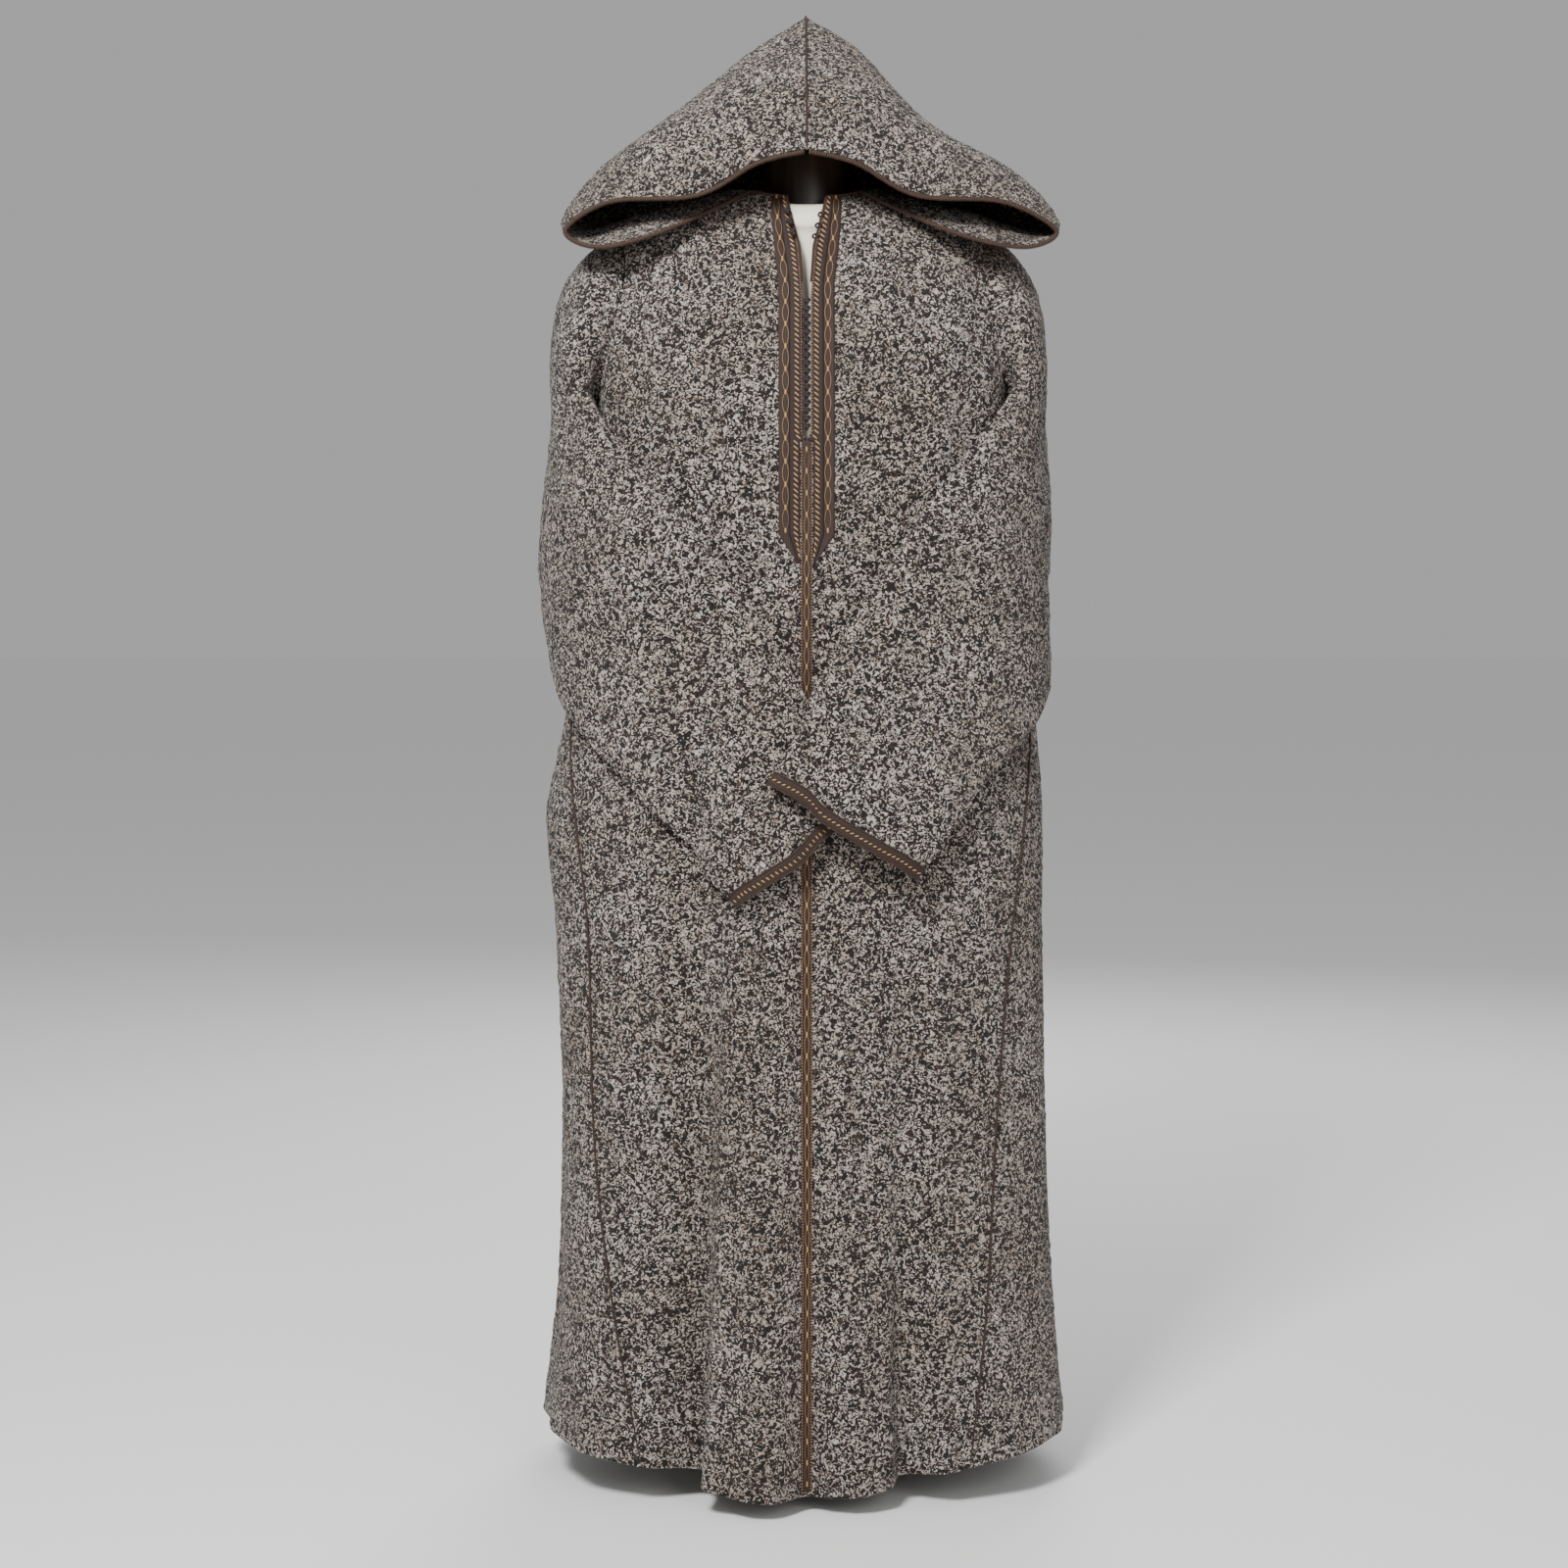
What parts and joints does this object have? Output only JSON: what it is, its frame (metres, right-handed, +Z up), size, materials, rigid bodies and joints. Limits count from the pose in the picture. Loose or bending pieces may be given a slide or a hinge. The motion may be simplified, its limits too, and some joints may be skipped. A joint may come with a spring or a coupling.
{
  "type": "hooded djellaba robe on a limbless dress form stand",
  "caption": "Long hooded wool robe with braided placket, knotted buttons and crossed empty sleeves, worn by a limbless dress form on a round stand.",
  "frame": {"origin": "centre of the base plate's underside, on the floor", "axes": "+Z up, the robe's front toward -Y, the wearer's left toward +X"},
  "size_m": [0.5844, 0.4059, 1.6],
  "materials": {
    "wool_tweed": "thick nubby wool, flecked black, brown, grey and white",
    "silk_braid": "dark brown plaited braid with gold thread",
    "knotted_cord": "dark knotted cord",
    "jersey": "cream jersey over a hard form",
    "dark_wood": "dark stained, satin",
    "steel": "black powder coat"
  },
  "bodies": {
    "root": {"front_right": "wool_tweed", "front_left": "wool_tweed", "gore_right": "wool_tweed", "gore_left": "wool_tweed", "back": "wool_tweed", "sleeve_right": "wool_tweed", "sleeve_left": "wool_tweed", "hood_right": "wool_tweed", "hood_left": "wool_tweed", "inner_braid_right": "silk_braid", "inner_braid_left": "silk_braid", "outer_braid_right": "silk_braid", "outer_braid_left": "silk_braid", "centre_braid": "silk_braid", "cuff_braid_right": "silk_braid", "cuff_braid_left": "silk_braid", "hood_cord_right": "silk_braid", "hood_cord_left": "silk_braid", "button_01": "knotted_cord", "button_02": "knotted_cord", "button_03": "knotted_cord", "button_04": "knotted_cord", "button_05": "knotted_cord", "button_06": "knotted_cord", "button_07": "knotted_cord", "button_08": "knotted_cord", "button_09": "knotted_cord", "button_10": "knotted_cord", "button_11": "knotted_cord", "button_12": "knotted_cord", "button_13": "knotted_cord", "button_14": "knotted_cord", "button_15": "knotted_cord", "button_16": "knotted_cord", "button_17": "knotted_cord", "neck_button_1": "knotted_cord", "neck_button_2": "knotted_cord", "neck_button_3": "knotted_cord", "dress_form": "jersey", "neck_cap": "dark_wood", "pole": "steel", "base_plate": "steel"}
  },
  "joints": []
}
